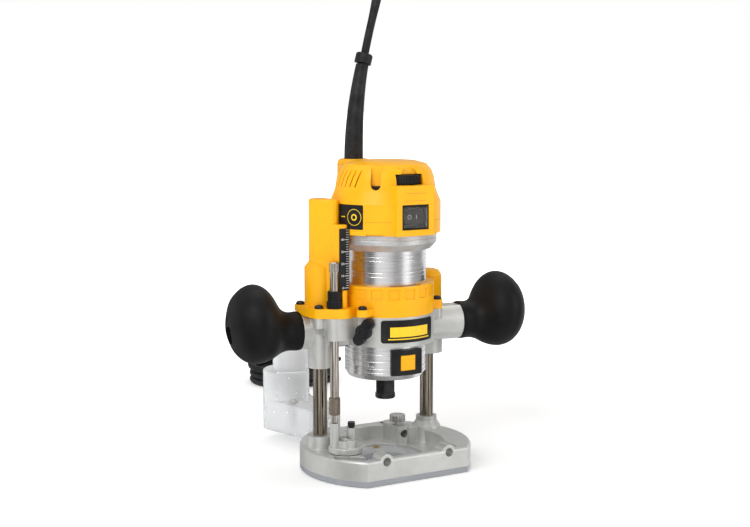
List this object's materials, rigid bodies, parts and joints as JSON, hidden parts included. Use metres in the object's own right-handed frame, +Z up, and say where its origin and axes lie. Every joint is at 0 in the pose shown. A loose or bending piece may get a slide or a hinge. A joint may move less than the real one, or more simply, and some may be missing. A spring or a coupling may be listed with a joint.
{
  "type": "trim router",
  "caption": "Compact plunge router: motor in a spring-raised carriage on two columns, ball handles, depth stop and turret, D-shaped clear-soled base.",
  "frame": {"origin": "spindle axis at the underside of the clear sub-base", "axes": "+Z up along the spindle, -Y towards the flat front with the rocker switch, +X towards the handle on the right"},
  "size_m": [0.2698, 0.4528, 0.4865],
  "materials": {
    "cast_aluminium": "sand-cast aluminium alloy, fine satin grain",
    "clear_plastic": "clear polycarbonate",
    "yellow_plastic": "moulded nylon, fine satin texture",
    "black_grip": "soft-touch rubber",
    "black_plastic": "moulded black nylon",
    "polished_aluminium": "turned and polished",
    "column_steel": "hard-chromed and ground",
    "bright_steel": "bright zinc-plated or ground steel",
    "black_steel": "blackened steel",
    "brass": "turned brass",
    "copper": "copper",
    "carbon": "carbon",
    "board_green": "glass-fibre board",
    "lead_rubber": "rubber sheath"
  },
  "bodies": {
    "base": {"sub_base": "clear_plastic", "sub_base_screws": "bright_steel", "base_casting": "cast_aluminium", "left_column": "column_steel", "right_column": "column_steel", "bush_insert": "clear_plastic", "insert_nuts": "brass", "dust_adaptor": "clear_plastic", "dust_screw": "bright_steel", "turret_pivot": "bright_steel", "left_spring": "bright_steel", "right_spring": "bright_steel", "cord": "lead_rubber", "cord_coil": "lead_rubber", "plug": "lead_rubber"},
    "turret": {"turret": "bright_steel", "turret_screw": "black_steel"},
    "rod_clamp": {"rod_clamp_screw": "bright_steel"},
    "depth_rod": {"depth_rod": "bright_steel"},
    "fine_nut": {"fine_nut": "brass"},
    "rod_clamp_nut": {"rod_clamp_nut": "black_plastic"},
    "lock_lever": {"lock_lever": "black_plastic", "lock_bolt": "brass"},
    "clamp_lever": {"clamp_lever": "black_plastic"},
    "spindle": {"spindle": "bright_steel", "armature": "black_steel", "commutator": "copper", "fan": "black_plastic", "collet": "bright_steel", "collet_nut": "black_steel"},
    "lock_button": {"lock_button": "yellow_plastic"},
    "switch_rocker": {"switch_rocker": "black_plastic"},
    "speed_dial": {"speed_dial": "black_plastic"},
    "carriage": {"bearing_bridge": "black_plastic", "bearing_plate": "cast_aluminium", "brush_caps": "black_plastic", "brush_holders": "black_plastic", "can_collar": "polished_aluminium", "carbon_brushes": "carbon", "carriage_casting": "cast_aluminium", "carriage_cover": "yellow_plastic", "circuit_board": "board_green", "column_bushes": "black_plastic", "cord_boot": "lead_rubber", "cover_screws": "black_steel", "field_coils": "copper", "field_core": "black_steel", "handle_bolts": "bright_steel", "left_handle": "black_grip", "lock_frame": "black_plastic", "lower_bearing": "bright_steel", "motor_can": "polished_aluminium", "motor_cap": "yellow_plastic", "nameplate": "black_plastic", "right_handle": "black_grip", "scale_strip": "black_plastic", "side_label": "black_plastic", "spring_pins": "bright_steel", "switch_body": "black_plastic", "upper_bearing": "bright_steel"}
  },
  "joints": [
    {"name": "plunge", "type": "slide", "parent": "base", "child": "carriage", "axis": [0, 0, 1], "range_m": [-0.055, 0], "stiffness_N_per_m": 500, "springref_m": 0.14, "deforming": ["left_spring", "right_spring"]},
    {"name": "depth_rod_slide", "type": "slide", "parent": "carriage", "child": "depth_rod", "axis": [0, 0, 1], "range_m": [0, 0.055]},
    {"name": "fine_adjust", "type": "hinge", "parent": "depth_rod", "child": "fine_nut", "pos_m": [-0.0565, -0.013, 0.061], "axis": [0, 0, 1], "range_deg": [-180, 180]},
    {"name": "rod_clamp_turn", "type": "hinge", "parent": "carriage", "child": "rod_clamp_nut", "pos_m": [-0.0565, -0.013, 0.15], "axis": [0, 0, 1], "range_deg": [0, 120]},
    {"name": "turret_turn", "type": "hinge", "parent": "base", "child": "turret", "pos_m": [-0.0485, -0.0175, 0.025], "axis": [0, 0, 1], "continuous": true},
    {"name": "guide_rod_clamp", "type": "hinge", "parent": "base", "child": "rod_clamp", "pos_m": [0.0303, 0.03, 0.03], "axis": [0, 0, 1], "range_deg": [0, 180]},
    {"name": "plunge_lock", "type": "hinge", "parent": "carriage", "child": "lock_lever", "pos_m": [-0.03666, -0.02778, 0.1243], "axis": [-0.797, -0.604, 0], "range_deg": [0, 60]},
    {"name": "motor_clamp", "type": "hinge", "parent": "carriage", "child": "clamp_lever", "pos_m": [0, 0.048, 0.149], "axis": [1, 0, 0], "range_deg": [-90, 0]},
    {"name": "spindle_spin", "type": "hinge", "parent": "carriage", "child": "spindle", "pos_m": [0, 0, 0.09], "axis": [0, 0, 1], "continuous": true},
    {"name": "spindle_lock", "type": "slide", "parent": "carriage", "child": "lock_button", "axis": [0, 1, 0], "range_m": [0, 0.003], "stiffness_N_per_m": 1500, "springref_m": -0.003},
    {"name": "switch_rock", "type": "hinge", "parent": "carriage", "child": "switch_rocker", "pos_m": [0, -0.0385, 0.2191], "axis": [1, 0, 0], "range_deg": [-7, 7]},
    {"name": "speed_dial_turn", "type": "hinge", "parent": "carriage", "child": "speed_dial", "pos_m": [0, -0.0294, 0.249], "axis": [0, 0, 1], "range_deg": [0, 270]}
  ],
  "couplings": [
    {"joint": "depth_rod_slide", "follows": "plunge", "ratio": -1}
  ]
}
